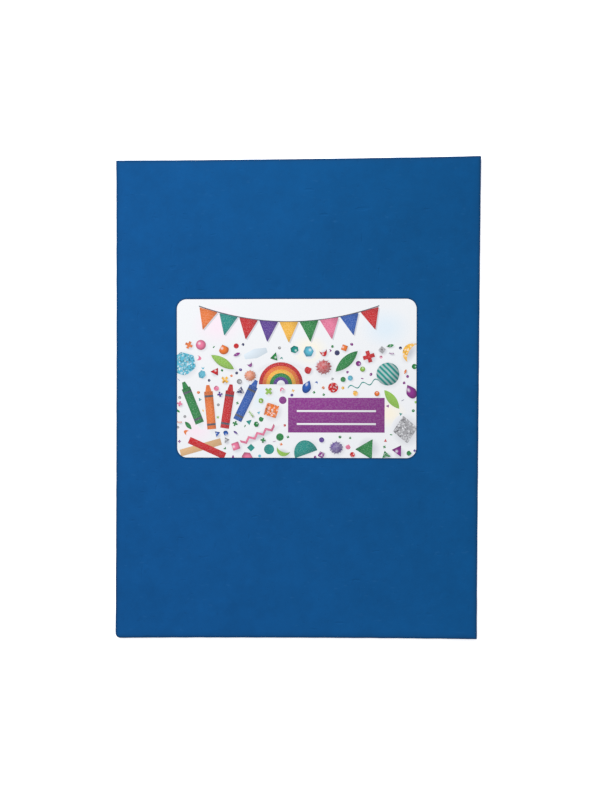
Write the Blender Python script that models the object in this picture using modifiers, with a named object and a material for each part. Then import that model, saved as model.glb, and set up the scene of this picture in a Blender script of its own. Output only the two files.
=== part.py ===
"""Craft foam sheet with a paper label stuck on its face.

One sheet of closed-cell EVA foam, cut with a knife, and one die-cut paper label. The sheet lies
flat: its underside is on Z = 0, the middle of its outline is at the origin and its long side
runs along Y. All lengths are in metres.
"""

from math import pi, radians, sin, tan

import bpy
from mathutils import Matrix, Vector

# Foam sheet, sold as 9 by 12 inches
SHEET_WIDTH = 0.2300
SHEET_LENGTH = 0.3040
SHEET_THICKNESS = 0.0020
# The knife left the corners this far from right angles, half of it on each pair of edges
OUT_OF_SQUARE = radians(0.6)
CUT_CORNER_RADIUS = 0.0006
# The bottom left corner is worn round
WORN_CORNER_RADIUS = 0.0034
CUT_EDGE_ROUNDING = 0.0002

# Paper label, sold as 6 by 4 inches
LABEL_WIDTH = 0.1514
LABEL_HEIGHT = 0.1003
LABEL_THICKNESS = 0.00015
LABEL_CORNER_RADIUS = 0.0062
# From the middle of the sheet's top edge to the label's top edge
LABEL_TOP_MARGIN = 0.0885
# Between the foam and the label's back
LABEL_CLEARANCE = 0.0003

# Straight runs that draw one round corner, and one rounded edge
CORNER_RUNS = 10
EDGE_RUNS = 2


def clear_scene():
    """Remove what the start-up file holds."""
    for item in list(bpy.data.objects):
        bpy.data.objects.remove(item, do_unlink=True)


def matte_material(name, colour, roughness):
    """A plain Principled material with a linear base colour."""
    material = bpy.data.materials.new(name)
    material.use_nodes = True
    shader = material.node_tree.nodes["Principled BSDF"]
    shader.inputs["Base Color"].default_value = (*colour, 1.0)
    shader.inputs["Roughness"].default_value = roughness
    shader.inputs["Metallic"].default_value = 0.0
    material.diffuse_color = (*colour, 1.0)
    return material


def rectangle(width, height, out_of_square=0.0):
    """Corners counter-clockwise from bottom left, leaning by half of out_of_square each way."""
    lean = tan(out_of_square / 2)
    square = [Vector((x * width / 2, y * height / 2)) for x, y in ((-1, -1), (1, -1), (1, 1), (-1, 1))]
    return [Vector((corner.x + lean * corner.y, corner.y + lean * corner.x)) for corner in square]


def fillet(before, corner, after, radius):
    """Points of the arc that rounds one corner of a counter-clockwise outline."""
    to_before = (before - corner).normalized()
    to_after = (after - corner).normalized()
    opening = to_before.angle(to_after)
    start = corner + to_before * (radius / tan(opening / 2))
    centre = corner + (to_before + to_after).normalized() * (radius / sin(opening / 2))
    step = (pi - opening) / CORNER_RUNS
    spoke = start - centre
    return [centre + Matrix.Rotation(step * run, 2) @ spoke for run in range(CORNER_RUNS + 1)]


def rounded_outline(corners, radii):
    """Outline of a shape whose corners are rounded by their own radii."""
    outline = []
    for place, radius in enumerate(radii):
        before = corners[place - 1]
        after = corners[(place + 1) % len(corners)]
        outline.extend(fillet(before, corners[place], after, radius))
    return outline


def plate(name, outline, thickness, underside, material):
    """A flat plate cut to an outline, with its underside at the given height."""
    curve = bpy.data.curves.new(name, "CURVE")
    curve.dimensions = "2D"
    curve.fill_mode = "BOTH"
    curve.extrude = thickness / 2
    spline = curve.splines.new("POLY")
    spline.points.add(len(outline) - 1)
    for point, place in zip(spline.points, outline):
        point.co = (place.x, place.y, 0.0, 1.0)
    spline.use_cyclic_u = True
    curve.materials.append(material)
    part = bpy.data.objects.new(name, curve)
    part.location.z = underside + thickness / 2
    return part


def soften_edges(part, rounding):
    """Round the rims of a plate, whose caps are welded to its sides first."""
    weld = part.modifiers.new("join_caps", "WELD")
    weld.merge_threshold = 0.00001
    bevel = part.modifiers.new("soft_rims", "BEVEL")
    bevel.width = rounding
    bevel.segments = EDGE_RUNS
    bevel.limit_method = "ANGLE"
    bevel.angle_limit = radians(45)


def foam_sheet():
    """The cut sheet, out of square, with one worn corner and soft rims."""
    material = matte_material("blue_foam", (0.0085, 0.085, 0.270), 0.75)
    corners = rectangle(SHEET_WIDTH, SHEET_LENGTH, OUT_OF_SQUARE)
    radii = (WORN_CORNER_RADIUS, CUT_CORNER_RADIUS, CUT_CORNER_RADIUS, CUT_CORNER_RADIUS)
    part = plate("foam_sheet", rounded_outline(corners, radii), SHEET_THICKNESS, 0.0, material)
    soften_edges(part, CUT_EDGE_ROUNDING)
    return part


def label():
    """The label, above the sheet's middle and square to the frame."""
    material = matte_material("white_paper", (0.905, 0.931, 0.955), 0.45)
    corners = rectangle(LABEL_WIDTH, LABEL_HEIGHT)
    radii = (LABEL_CORNER_RADIUS,) * len(corners)
    underside = SHEET_THICKNESS + LABEL_CLEARANCE
    part = plate("label", rounded_outline(corners, radii), LABEL_THICKNESS, underside, material)
    part.location.y = SHEET_LENGTH / 2 - LABEL_TOP_MARGIN - LABEL_HEIGHT / 2
    return part


def main():
    """Build the pieces into a collection named for the object."""
    clear_scene()
    pieces = bpy.data.collections.new("craft_foam_sheet")
    bpy.context.scene.collection.children.link(pieces)
    for part in (foam_sheet(), label()):
        pieces.objects.link(part)


if __name__ == "__main__":
    main()
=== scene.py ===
"""Looks of a craft foam sheet: the foam, the paper label stuck on it and a plain studio.

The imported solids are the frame. The sheet is modelled again in its place with the waves, dents,
pinched rims and open-celled cut side of soft foam. The label is modelled again as one thin paper
whose face is divided along the outlines of its print: party flags, crayons, a panel to write on
and scattered craft shapes. Lengths are in metres, and the print's layout is in millimetres.
"""

import logging
import math
import random
from collections.abc import Callable, Iterable
from dataclasses import dataclass, field
from enum import Enum
from typing import ClassVar

import bmesh
import bpy
from mathutils import Matrix, Vector, noise
from mathutils.geometry import delaunay_2d_cdt


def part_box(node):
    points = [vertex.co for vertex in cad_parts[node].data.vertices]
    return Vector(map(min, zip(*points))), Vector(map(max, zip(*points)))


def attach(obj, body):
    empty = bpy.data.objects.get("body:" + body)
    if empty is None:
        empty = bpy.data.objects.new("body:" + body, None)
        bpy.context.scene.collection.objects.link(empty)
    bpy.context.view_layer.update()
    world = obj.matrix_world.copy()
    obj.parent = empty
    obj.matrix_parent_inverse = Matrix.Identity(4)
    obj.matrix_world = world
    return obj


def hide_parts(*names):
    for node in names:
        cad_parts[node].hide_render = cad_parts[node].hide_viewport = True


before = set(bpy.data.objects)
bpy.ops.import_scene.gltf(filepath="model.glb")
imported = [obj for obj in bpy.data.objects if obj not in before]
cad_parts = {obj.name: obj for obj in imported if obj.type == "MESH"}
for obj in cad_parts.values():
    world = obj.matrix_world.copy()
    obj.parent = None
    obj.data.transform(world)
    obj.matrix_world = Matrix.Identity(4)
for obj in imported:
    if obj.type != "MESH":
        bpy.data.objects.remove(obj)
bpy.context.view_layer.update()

LOG = logging.getLogger("craft_foam_sheet")
MM = 0.001
BODY = "root"
# Radius of the label's corners
LABEL_CORNER = 6.2 * MM

Colour = tuple[float, float, float]
Place = tuple[float, float, float]
Socket = bpy.types.NodeSocket
Mesh = bmesh.types.BMesh
StripPath = Callable[[float, float], tuple[float, float]]


def linear(red: int, green: int, blue: int) -> Colour:
    """Turn an 8-bit display colour into a scene-linear one.

    Args:
        red: Red, 0 to 255.
        green: Green, 0 to 255.
        blue: Blue, 0 to 255.

    Returns:
        The colour as three linear shares.
    """

    def channel(value: int) -> float:
        """Undo the display curve of one channel."""
        share = value / 255
        return share / 12.92 if share <= 0.04045 else ((share + 0.055) / 1.055) ** 2.4

    return channel(red), channel(green), channel(blue)


def smooth_step(value: float) -> float:
    """Ease a share from 0 to 1 with level ends."""
    share = min(max(value, 0.0), 1.0)
    return share * share * (3.0 - 2.0 * share)


@dataclass(frozen=True)
class Box:
    """The box around one solid of the frame."""

    low: Vector
    high: Vector

    @property
    def size(self) -> Vector:
        """Its sides."""
        return self.high - self.low

    @property
    def middle(self) -> Vector:
        """Its middle."""
        return (self.low + self.high) / 2


class NodeTable:
    """A material's node tree, with short ways to add its nodes and join them."""

    # Most of a soft noise lies between these two values
    NOISE_RANGE = (0.3, 0.7)

    def __init__(self, name: str) -> None:
        """Start a material with its Principled shader.

        Args:
            name: The material's name.
        """
        self.material = bpy.data.materials.new(name)
        self.material.use_nodes = True
        self.tree = self.material.node_tree
        self.shader = self.tree.nodes["Principled BSDF"]

    def add(self, kind: str, **settings: object) -> bpy.types.Node:
        """Add a node and set its own options.

        Args:
            kind: The node's type name.
            **settings: Options such as operation or data_type.

        Returns:
            The new node.
        """
        node = self.tree.nodes.new(kind)
        for option, value in settings.items():
            setattr(node, option, value)
        return node

    def feed(self, socket: Socket, source: Socket | float | tuple) -> None:
        """Join a socket to a source, or give it a fixed value.

        Args:
            socket: The input socket.
            source: An output socket, or the value.
        """
        if isinstance(source, bpy.types.NodeSocket):
            self.tree.links.new(source, socket)
        else:
            socket.default_value = source

    def place(self, stretch: Place = (1, 1, 1), turn: float = 0.0) -> Socket:
        """Give the place on the piece, stretched and turned about Z.

        Args:
            stretch: How many times denser the pattern is along X, Y and Z.
            turn: Turn about Z in radians.

        Returns:
            The vector socket.
        """
        mapping = self.add("ShaderNodeMapping")
        mapping.inputs["Scale"].default_value = stretch
        mapping.inputs["Rotation"].default_value = (0.0, 0.0, turn)
        self.feed(mapping.inputs["Vector"], self.add("ShaderNodeTexCoord").outputs["Object"])
        return mapping.outputs["Vector"]

    def attribute(self, name: str, output: str) -> Socket:
        """Read an attribute of the piece's mesh."""
        return self.add("ShaderNodeAttribute", attribute_name=name).outputs[output]

    def noise(self, place: Socket, size: float, detail: float = 3.0, roughness: float = 0.55) -> Socket:
        """Add soft noise whose blobs are about the given size across.

        Args:
            place: Where the pattern is read.
            size: Size of a blob in metres.
            detail: Octaves of finer noise.
            roughness: Strength of the finer octaves.

        Returns:
            The noise's value, about 0.5 on average.
        """
        node = self.add("ShaderNodeTexNoise")
        self.feed(node.inputs["Vector"], place)
        node.inputs["Scale"].default_value = 1.0 / size
        node.inputs["Detail"].default_value = detail
        node.inputs["Roughness"].default_value = roughness
        return node.outputs["Fac"]

    def cells(self, place: Socket, size: float, output: str = "Distance") -> Socket:
        """Add a cell pattern.

        Args:
            place: Where the pattern is read.
            size: Size of a cell in metres.
            output: Distance to the cell's middle, or its random Color.

        Returns:
            The chosen output.
        """
        node = self.add("ShaderNodeTexVoronoi")
        self.feed(node.inputs["Vector"], place)
        node.inputs["Scale"].default_value = 1.0 / size
        return node.outputs[output]

    def remap(self, value: Socket, low: float, high: float, start: float = 0.0, end: float = 1.0) -> Socket:
        """Stretch a range of values onto another one and hold it at its ends.

        Args:
            value: The value.
            low: Where the range begins.
            high: Where the range ends.
            start: What low becomes.
            end: What high becomes.

        Returns:
            The new value.
        """
        node = self.add("ShaderNodeMapRange", clamp=True)
        self.feed(node.inputs["Value"], value)
        for name, bound in (("From Min", low), ("From Max", high), ("To Min", start), ("To Max", end)):
            node.inputs[name].default_value = bound
        return node.outputs["Result"]

    def spread(self, soft_noise: Socket, start: float = 0.0, end: float = 1.0) -> Socket:
        """Stretch the range that soft noise mostly stays in onto another one."""
        return self.remap(soft_noise, *self.NOISE_RANGE, start, end)

    def math(self, operation: str, first: Socket | float, second: Socket | float) -> Socket:
        """Work out one sum on two values.

        Args:
            operation: Blender's name for the sum.
            first: The first value.
            second: The second value.

        Returns:
            The result.
        """
        node = self.add("ShaderNodeMath", operation=operation)
        self.feed(node.inputs[0], first)
        self.feed(node.inputs[1], second)
        return node.outputs["Value"]

    def vector(self, operation: str, first: Socket, second: Place = (0.0, 0.0, 0.0)) -> Socket:
        """Work out one sum on two vectors.

        Args:
            operation: Blender's name for the sum.
            first: The first vector.
            second: The second vector.

        Returns:
            The result: a value for a length or a distance, and otherwise a vector.
        """
        node = self.add("ShaderNodeVectorMath", operation=operation)
        self.feed(node.inputs[0], first)
        self.feed(node.inputs[1], second)
        return node.outputs["Value" if operation in ("LENGTH", "DISTANCE") else "Vector"]

    def blend(self, share: Socket | float, first: Socket | Colour, second: Socket | Colour,
              mode: str = "MIX") -> Socket:
        """Blend two colours.

        Args:
            share: How much of the second colour shows.
            first: The colour underneath.
            second: The colour on top.
            mode: Blender's name for the way of blending.

        Returns:
            The blended colour.
        """
        node = self.add("ShaderNodeMix", data_type="RGBA", blend_type=mode)
        self.feed(node.inputs["Factor"], share)
        for name, colour in (("A", first), ("B", second)):
            socket = next(s for s in node.inputs if s.name == name and s.type == "RGBA")
            self.feed(socket, colour if isinstance(colour, bpy.types.NodeSocket) else (*colour, 1.0))
        return next(s for s in node.outputs if s.type == "RGBA")

    def relief(self, height: Socket, depth: float, onto: Socket | None = None) -> Socket:
        """Turn a height from 0 to 1 into a bumped normal.

        Args:
            height: The height's share of the depth.
            depth: The full depth in metres.
            onto: A bumped normal that this one is laid over.

        Returns:
            The new normal.
        """
        node = self.add("ShaderNodeBump")
        node.inputs["Strength"].default_value = 1.0
        node.inputs["Distance"].default_value = depth
        self.feed(node.inputs["Height"], height)
        if onto is not None:
            self.feed(node.inputs["Normal"], onto)
        return node.outputs["Normal"]

    def surface(self, **values: Socket | float | Colour) -> bpy.types.Material:
        """Set the shader's sockets and give the material.

        Args:
            **values: Sources or values by socket name, with underscores for spaces.

        Returns:
            The finished material.
        """
        for name, value in values.items():
            is_colour = isinstance(value, tuple) and len(value) == 3
            self.feed(self.shader.inputs[name.replace("_", " ")], (*value, 1.0) if is_colour else value)
        return self.material


@dataclass(frozen=True)
class Strokes:
    """Short sparse strokes both ways, pressed into the skin by nails and by other sheets.

    They are the peaks of one noise that is stretched across and of one that is stretched along.
    """

    size: float
    thinness: float
    turn: float
    start: float
    full: float

    def strength(self, nodes: NodeTable) -> Socket:
        """Add the strokes.

        Args:
            nodes: The material's nodes.

        Returns:
            Their strength, from 0 to 1.
        """
        across = nodes.noise(nodes.place((1.0, self.thinness, 1.0), self.turn), self.size, detail=1.0)
        along = nodes.noise(nodes.place((self.thinness, 1.0, 1.0), -self.turn), self.size, detail=1.0)
        return nodes.remap(nodes.math("MAXIMUM", across, along), self.start, self.full)


@dataclass(frozen=True)
class Scuffs:
    """Pale rubbed streaks in a few patches of the skin, and short pale ticks all over it."""

    streak_size: float = 9 * MM
    streak_thinness: float = 9.0
    streak_turn: float = 0.9
    streak_share: float = 0.15
    patch_size: float = 55 * MM
    tick_size: float = 5.5 * MM
    tick_thinness: float = 3.2
    tick_turn: float = 1.1
    tick_share: float = 0.09

    def strength(self, nodes: NodeTable) -> Socket:
        """Add the scuffs.

        Args:
            nodes: The material's nodes.

        Returns:
            The share of the scuffed colour.
        """
        slanted = nodes.place((1.0, self.streak_thinness, 1.0), self.streak_turn)
        streaks = nodes.noise(slanted, self.streak_size, detail=3.0, roughness=0.7)
        patches = nodes.noise(nodes.place(), self.patch_size, detail=1.0)
        rubbed = nodes.math("MULTIPLY", nodes.remap(streaks, 0.60, 0.74), nodes.remap(patches, 0.55, 0.72))
        steep = nodes.place((1.0, self.tick_thinness, 1.0), self.tick_turn)
        ticks = nodes.noise(steep, self.tick_size, detail=1.0)
        ticks = nodes.remap(ticks, 0.70, 0.80, 0.0, self.tick_share)
        return nodes.math("MAXIMUM", nodes.math("MULTIPLY", rubbed, self.streak_share), ticks)


@dataclass(frozen=True)
class LabelEdgeShade:
    """Painted shade on the upper face of the foam: a soft dark line along the label's edge.

    It is told by the distance from the label's round-cornered outline. Depth below the label's
    back counts many times over past the given depth, so that the underside stays free.
    """

    label: Box
    corner: float = LABEL_CORNER
    reach: float = 1.6 * MM
    share: float = 0.80
    depth: float = 1.2 * MM
    depth_weight: float = 50.0

    def strength(self, nodes: NodeTable) -> Socket:
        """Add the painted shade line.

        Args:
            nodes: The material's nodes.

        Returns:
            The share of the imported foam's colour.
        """
        middle, half = self.label.middle, self.label.size / 2
        place = nodes.place((1.0, 1.0, self.depth_weight))
        place = nodes.vector("SUBTRACT", place, (middle.x, middle.y, self.depth_weight * self.label.low.z))
        straight = (half.x - self.corner, half.y - self.corner, self.depth_weight * self.depth)
        beyond = nodes.vector("SUBTRACT", nodes.vector("ABSOLUTE", place), straight)
        away = nodes.vector("LENGTH", nodes.vector("MAXIMUM", beyond))
        return nodes.remap(away, self.corner, self.corner + self.reach, self.share, 0.0)


@dataclass(frozen=True)
class FoamSkin:
    """The closed skin of a foam sheet: matte and softly mottled, with a fine pebble and small nicks.

    Across the sheet the colour goes from a lighter, warmer blue to a darker, greener one, a painted
    fall-off of the light.
    Shade is painted in along the rim, beside the label's edge and in the skin's cells and nicks.
    """

    label_edge_shade: LabelEdgeShade
    scuffs: Scuffs = Scuffs()
    nicks: Strokes = Strokes(4 * MM, thinness=2.6, turn=0.5, start=0.715, full=0.80)
    creases: Strokes = Strokes(13 * MM, thinness=3.4, turn=0.12, start=0.725, full=0.79)
    name: str = "foam_skin"
    # The two ends of a painted fall-off of the light across the sheet
    lit_end_blue: Colour = linear(15, 79, 138)
    dim_end_blue: Colour = linear(11, 77, 131)
    scuffed: Colour = linear(62, 122, 178)
    # Painted shade in the skin's cells and nicks
    recess_shade: Colour = linear(9, 56, 100)
    # Painted shade along the rim and beside the label's edge
    edge_shade: Colour = linear(18, 52, 84)
    light_fall_reach: float = 100 * MM
    light_fall_turn: float = -0.34
    cloud_size: float = 60 * MM
    cloud_tone: float = 0.03
    blot_size: float = 17 * MM
    blot_tone: float = 0.035
    mottle_size: float = 5.5 * MM
    mottle_tone: float = 0.045
    pebble_size: float = 1.3 * MM
    pebble_depth: float = 0.035 * MM
    cell_size: float = 0.42 * MM
    cell_depth: float = 0.020 * MM
    cell_shade: float = 0.30
    nick_depth: float = 0.060 * MM
    nick_shade: float = 0.13
    crease_depth: float = 0.13 * MM
    rim_full: float = 0.68
    rim_shade: float = 0.95

    def material(self) -> bpy.types.Material:
        """Build the skin's material.

        Returns:
            The finished material.
        """
        nodes = NodeTable(self.name)
        place = nodes.place()
        mottle = nodes.noise(place, self.mottle_size, detail=4.0, roughness=0.65)
        cells = nodes.cells(place, self.cell_size)
        nicks = self.nicks.strength(nodes)
        # Painted shade along the rim
        rim = nodes.remap(nodes.attribute("rim", "Fac"), 0.0, self.rim_full, 0.0, self.rim_shade)
        coats = (
            # Painted shade in the cells' pits and in the nicks
            (nodes.remap(cells, 0.05, 0.35, self.cell_shade, 0.0), self.recess_shade),
            (nodes.math("MULTIPLY", nicks, self.nick_shade), self.recess_shade),
            # Painted shade along the label's edge
            (self.label_edge_shade.strength(nodes), self.edge_shade),
            (self.scuffs.strength(nodes), self.scuffed),
            (rim, self.edge_shade),
        )
        colour = self._dye_and_light_fall(nodes, place, mottle)
        for share, coat in coats:
            colour = nodes.blend(share, colour, coat)
        reliefs = (
            (nodes.noise(place, self.pebble_size, detail=2.0), self.pebble_depth),
            (nodes.remap(cells, 0.0, 0.6), self.cell_depth),
            (nodes.math("SUBTRACT", 1.0, nicks), self.nick_depth),
            (nodes.math("SUBTRACT", 1.0, self.creases.strength(nodes)), self.crease_depth),
        )
        relief = None
        for height, depth in reliefs:
            relief = nodes.relief(height, depth, relief)
        return nodes.surface(
            Base_Color=colour,
            Roughness=nodes.spread(mottle, 0.67, 0.76),
            Normal=relief,
            Specular_IOR_Level=0.05,
            Sheen_Weight=0.02,
            Sheen_Roughness=0.45,
        )

    def _dye_and_light_fall(self, nodes: NodeTable, place: Socket, mottle: Socket) -> Socket:
        """The dye's colour with its clouds and its mottle, and a painted fall-off of the light across the
        sheet.

        Args:
            nodes: The material's nodes.
            place: The place on the piece.
            mottle: The fine mottle.

        Returns:
            The colour.
        """
        # Painted fall-off of the light: darker and greener across the sheet
        axes = nodes.add("ShaderNodeSeparateXYZ")
        nodes.feed(axes.inputs["Vector"], nodes.place(turn=self.light_fall_turn))
        light_fall = nodes.remap(axes.outputs["X"], -self.light_fall_reach, self.light_fall_reach)
        colour = nodes.blend(light_fall, self.lit_end_blue, self.dim_end_blue)
        clouds = nodes.noise(place, self.cloud_size, detail=2.0)
        clouds = nodes.spread(clouds, -self.cloud_tone, self.cloud_tone)
        blots = nodes.noise(place, self.blot_size, detail=1.0)
        blots = nodes.spread(blots, -self.blot_tone, self.blot_tone)
        mottle = nodes.spread(mottle, 1.0 - self.mottle_tone, 1.0 + self.mottle_tone)
        tone = nodes.math("ADD", clouds, mottle)
        tone = nodes.math("ADD", tone, nodes.math("ADD", blots, nodes.attribute("cloud", "Fac")))
        return nodes.blend(1.0, colour, tone, "MULTIPLY")


@dataclass(frozen=True)
class FoamCut:
    """The knife-cut side of the foam, where its cells are open, with painted shade in the open cells."""

    name: str = "foam_cut"
    wall: Colour = linear(26, 88, 148)
    # Painted shade in the open cells, and the darker tone of the knife's drag streaks
    pore_shade_and_streaks: Colour = linear(11, 56, 102)
    cell_size: float = 0.38 * MM
    cell_depth: float = 0.09 * MM
    drag_size: float = 0.9 * MM
    drag_depth: float = 0.05 * MM

    def material(self) -> bpy.types.Material:
        """Build the cut side's material.

        Returns:
            The finished material.
        """
        nodes = NodeTable(self.name)
        cells = nodes.cells(nodes.place(), self.cell_size)
        drag = nodes.noise(nodes.place((1.0, 1.0, 0.25)), self.drag_size, detail=2.0)
        colour = nodes.blend(nodes.remap(cells, 0.15, 0.55), self.pore_shade_and_streaks, self.wall)
        colour = nodes.blend(nodes.remap(drag, 0.45, 0.70, 0.0, 0.35), colour, self.pore_shade_and_streaks)
        relief = nodes.relief(cells, self.cell_depth)
        return nodes.surface(
            Base_Color=colour,
            Roughness=nodes.spread(drag, 0.75, 0.92),
            Normal=nodes.relief(drag, self.drag_depth, relief),
            Specular_IOR_Level=0.06,
            Sheen_Weight=0.03,
            Sheen_Roughness=0.5,
        )


@dataclass(frozen=True)
class LabelPaper:
    """Coated label paper: bright and a little cool, with faint fibres."""

    name: str = "label_paper"
    sheet: Colour = linear(229, 231, 234)
    fibre: Colour = linear(225, 227, 231)
    fibre_size: float = 0.5 * MM
    fibre_depth: float = 0.004 * MM
    patch_size: float = 22 * MM

    def material(self) -> bpy.types.Material:
        """Build the paper's material.

        Returns:
            The finished material.
        """
        nodes = NodeTable(self.name)
        patches = nodes.noise(nodes.place(), self.patch_size, detail=2.0)
        return nodes.surface(
            Base_Color=self.colour(nodes),
            Roughness=nodes.spread(patches, 0.48, 0.58),
            Normal=nodes.relief(self._fibres(nodes), self.fibre_depth),
            Specular_IOR_Level=0.16,
        )

    def colour(self, nodes: NodeTable) -> Socket:
        """Add the bare paper's colour, which the inks fade into as well.

        Args:
            nodes: The material's nodes.

        Returns:
            The colour.
        """
        patches = nodes.noise(nodes.place(), self.patch_size, detail=2.0)
        colour = nodes.blend(nodes.remap(self._fibres(nodes), 0.35, 0.70), self.sheet, self.fibre)
        return nodes.blend(nodes.remap(patches, 0.4, 0.7, 0.0, 0.4), colour, self.fibre)

    def _fibres(self, nodes: NodeTable) -> Socket:
        """The paper's short fibres, which lie along one direction."""
        return nodes.noise(nodes.place((1.0, 3.0, 1.0), 0.4), self.fibre_size, detail=3.0)


class InkEffect(Enum):
    """How the print makes a motif look."""

    FLAT = "flat"
    FELT = "felt"
    GLITTER = "glitter"
    GLOSS = "gloss"
    STRIPES = "stripes"
    FUZZ = "fuzz"
    WASH = "wash"


@dataclass(frozen=True)
class PrintedInk:
    """Ink on the label. The colour comes with each motif, and the effect shades it.

    The motif's own unit square, in which the effects are drawn, is the UV map "motif".
    """

    effect: InkEffect
    stock: LabelPaper = LabelPaper()
    shade: Colour = linear(34, 28, 38)
    grain_size: float = 0.8 * MM
    fuzz_size: float = 0.55 * MM
    flake_size: float = 0.85 * MM
    tuft_size: float = 1.4 * MM

    def material(self) -> bpy.types.Material:
        """Build the ink's material.

        Returns:
            The finished material.
        """
        nodes = NodeTable(f"ink_{self.effect.value}")
        ink = nodes.attribute("ink", "Color")
        colour = getattr(self, f"_{self.effect.value}")(nodes, ink, self.stock.colour(nodes))
        return nodes.surface(Base_Color=colour, Roughness=0.52, Specular_IOR_Level=0.16)

    @staticmethod
    def _away(nodes: NodeTable, across: float = 0.5, along: float = 0.5) -> Socket:
        """Distance from a point of the motif's unit square, 0.5 from its middle to a side."""
        square = nodes.add("ShaderNodeUVMap", uv_map="motif").outputs["UV"]
        return nodes.vector("DISTANCE", square, (across, along, 0.0))

    def _flat(self, nodes: NodeTable, ink: Socket, paper: Socket) -> Socket:
        """An even ink with a trace of grain, a little lighter at its upper left.

        Args:
            nodes: The material's nodes.
            ink: The motif's own colour.
            paper: The bare paper's colour.

        Returns:
            The shaded colour.
        """
        grain = nodes.noise(nodes.place(), self.grain_size, detail=2.0)
        light = nodes.blend(nodes.remap(grain, 0.4, 0.75, 0.0, 0.12), ink, paper)
        low = nodes.remap(self._away(nodes, 0.1, 0.9), 0.2, 1.1, 0.0, 0.22)
        return nodes.blend(low, light, self.shade)

    def _felt(self, nodes: NodeTable, ink: Socket, paper: Socket) -> Socket:
        """A fuzzy ink, darker towards the motif's rim.

        Args:
            nodes: The material's nodes.
            ink: The motif's own colour.
            paper: The bare paper's colour.

        Returns:
            The shaded colour.
        """
        fuzz = nodes.noise(nodes.place(), self.fuzz_size, detail=4.0, roughness=0.75)
        light = nodes.blend(nodes.remap(fuzz, 0.50, 0.72, 0.0, 0.40), ink, paper)
        light = nodes.blend(nodes.remap(fuzz, 0.30, 0.50, 0.50, 0.0), light, self.shade)
        rim = nodes.remap(self._away(nodes, 0.4, 0.6), 0.25, 0.70, 0.0, 0.35)
        return nodes.blend(rim, light, self.shade)

    def _glitter(self, nodes: NodeTable, ink: Socket, paper: Socket) -> Socket:
        """Ink broken into bright and dark flakes.

        Args:
            nodes: The material's nodes.
            ink: The motif's own colour.
            paper: The bare paper's colour.

        Returns:
            The shaded colour.
        """
        split = nodes.add("ShaderNodeSeparateColor")
        nodes.feed(split.inputs["Color"], nodes.cells(nodes.place(), self.flake_size, output="Color"))
        light = nodes.blend(nodes.remap(split.outputs["Red"], 0.55, 1.0, 0.0, 0.80), ink, paper)
        return nodes.blend(nodes.remap(split.outputs["Green"], 0.0, 0.35, 0.60, 0.0), light, self.shade)

    def _gloss(self, nodes: NodeTable, ink: Socket, paper: Socket) -> Socket:
        """A rounded look: a highlight up and to the left, and a dark rim.

        Args:
            nodes: The material's nodes.
            ink: The motif's own colour.
            paper: The bare paper's colour.

        Returns:
            The shaded colour.
        """
        rim = nodes.remap(self._away(nodes, 0.44, 0.56), 0.22, 0.60, 0.0, 0.60)
        shine = nodes.remap(self._away(nodes, 0.36, 0.66), 0.04, 0.20, 0.72, 0.0)
        return nodes.blend(shine, nodes.blend(rim, ink, self.shade), paper)

    def _stripes(self, nodes: NodeTable, ink: Socket, paper: Socket) -> Socket:
        """Wound stripes across the motif, darker towards its lower right.

        Args:
            nodes: The material's nodes.
            ink: The motif's own colour.
            paper: The bare paper's colour.

        Returns:
            The shaded colour.
        """
        wave = nodes.add("ShaderNodeTexWave", wave_type="BANDS", bands_direction="DIAGONAL")
        nodes.feed(wave.inputs["Vector"], nodes.add("ShaderNodeUVMap", uv_map="motif").outputs["UV"])
        wave.inputs["Scale"].default_value = 2.6
        wave.inputs["Distortion"].default_value = 0.8
        light = nodes.blend(nodes.remap(wave.outputs["Fac"], 0.2, 0.9, 0.0, 0.5), ink, paper)
        low = nodes.remap(self._away(nodes, 0.36, 0.64), 0.25, 0.75, 0.0, 0.55)
        return nodes.blend(low, light, self.shade)

    def _fuzz(self, nodes: NodeTable, ink: Socket, paper: Socket) -> Socket:
        """A tufted ball, lit from its upper left.

        Args:
            nodes: The material's nodes.
            ink: The motif's own colour.
            paper: The bare paper's colour.

        Returns:
            The shaded colour.
        """
        tufts = nodes.noise(nodes.place(), self.tuft_size, detail=5.0, roughness=0.75)
        light = nodes.blend(nodes.remap(tufts, 0.35, 0.65, 0.0, 0.45), ink, paper)
        low = nodes.remap(self._away(nodes, 0.38, 0.62), 0.12, 0.62, 0.0, 0.60)
        return nodes.blend(low, light, self.shade)

    def _wash(self, nodes: NodeTable, ink: Socket, paper: Socket) -> Socket:
        """A tint that fades out into the paper."""
        return nodes.blend(nodes.remap(self._away(nodes), 0.10, 0.49), ink, paper)


@dataclass(frozen=True)
class PaleFloor:
    """A plain white floor with a little light of its own, as on a light table."""

    name: str = "pale_floor"
    tone: Colour = (0.93, 0.93, 0.93)
    cloud: Colour = (0.91, 0.91, 0.91)
    cloud_size: float = 0.35
    glow: float = 0.50

    def material(self) -> bpy.types.Material:
        """Build the floor's material.

        Returns:
            The finished material.
        """
        nodes = NodeTable(self.name)
        clouds = nodes.noise(nodes.place(), self.cloud_size, detail=2.0)
        return nodes.surface(
            Base_Color=nodes.blend(nodes.spread(clouds), self.tone, self.cloud),
            Roughness=0.9,
            Specular_IOR_Level=0.1,
            Emission_Color=(1.0, 1.0, 1.0),
            Emission_Strength=self.glow,
        )


def show(name: str, mesh: Mesh, finishes: Iterable[bpy.types.Material]) -> bpy.types.Object:
    """Make an object of a finished mesh and put it in the scene.

    Args:
        name: The object's name.
        mesh: Its mesh, which is freed.
        finishes: Its materials, in the order of its faces' slots.

    Returns:
        The object.
    """
    data = bpy.data.meshes.new(name)
    mesh.to_mesh(data)
    mesh.free()
    for finish in finishes:
        data.materials.append(finish)
    shown = bpy.data.objects.new(name, data)
    bpy.context.scene.collection.objects.link(shown)
    return shown


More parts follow.
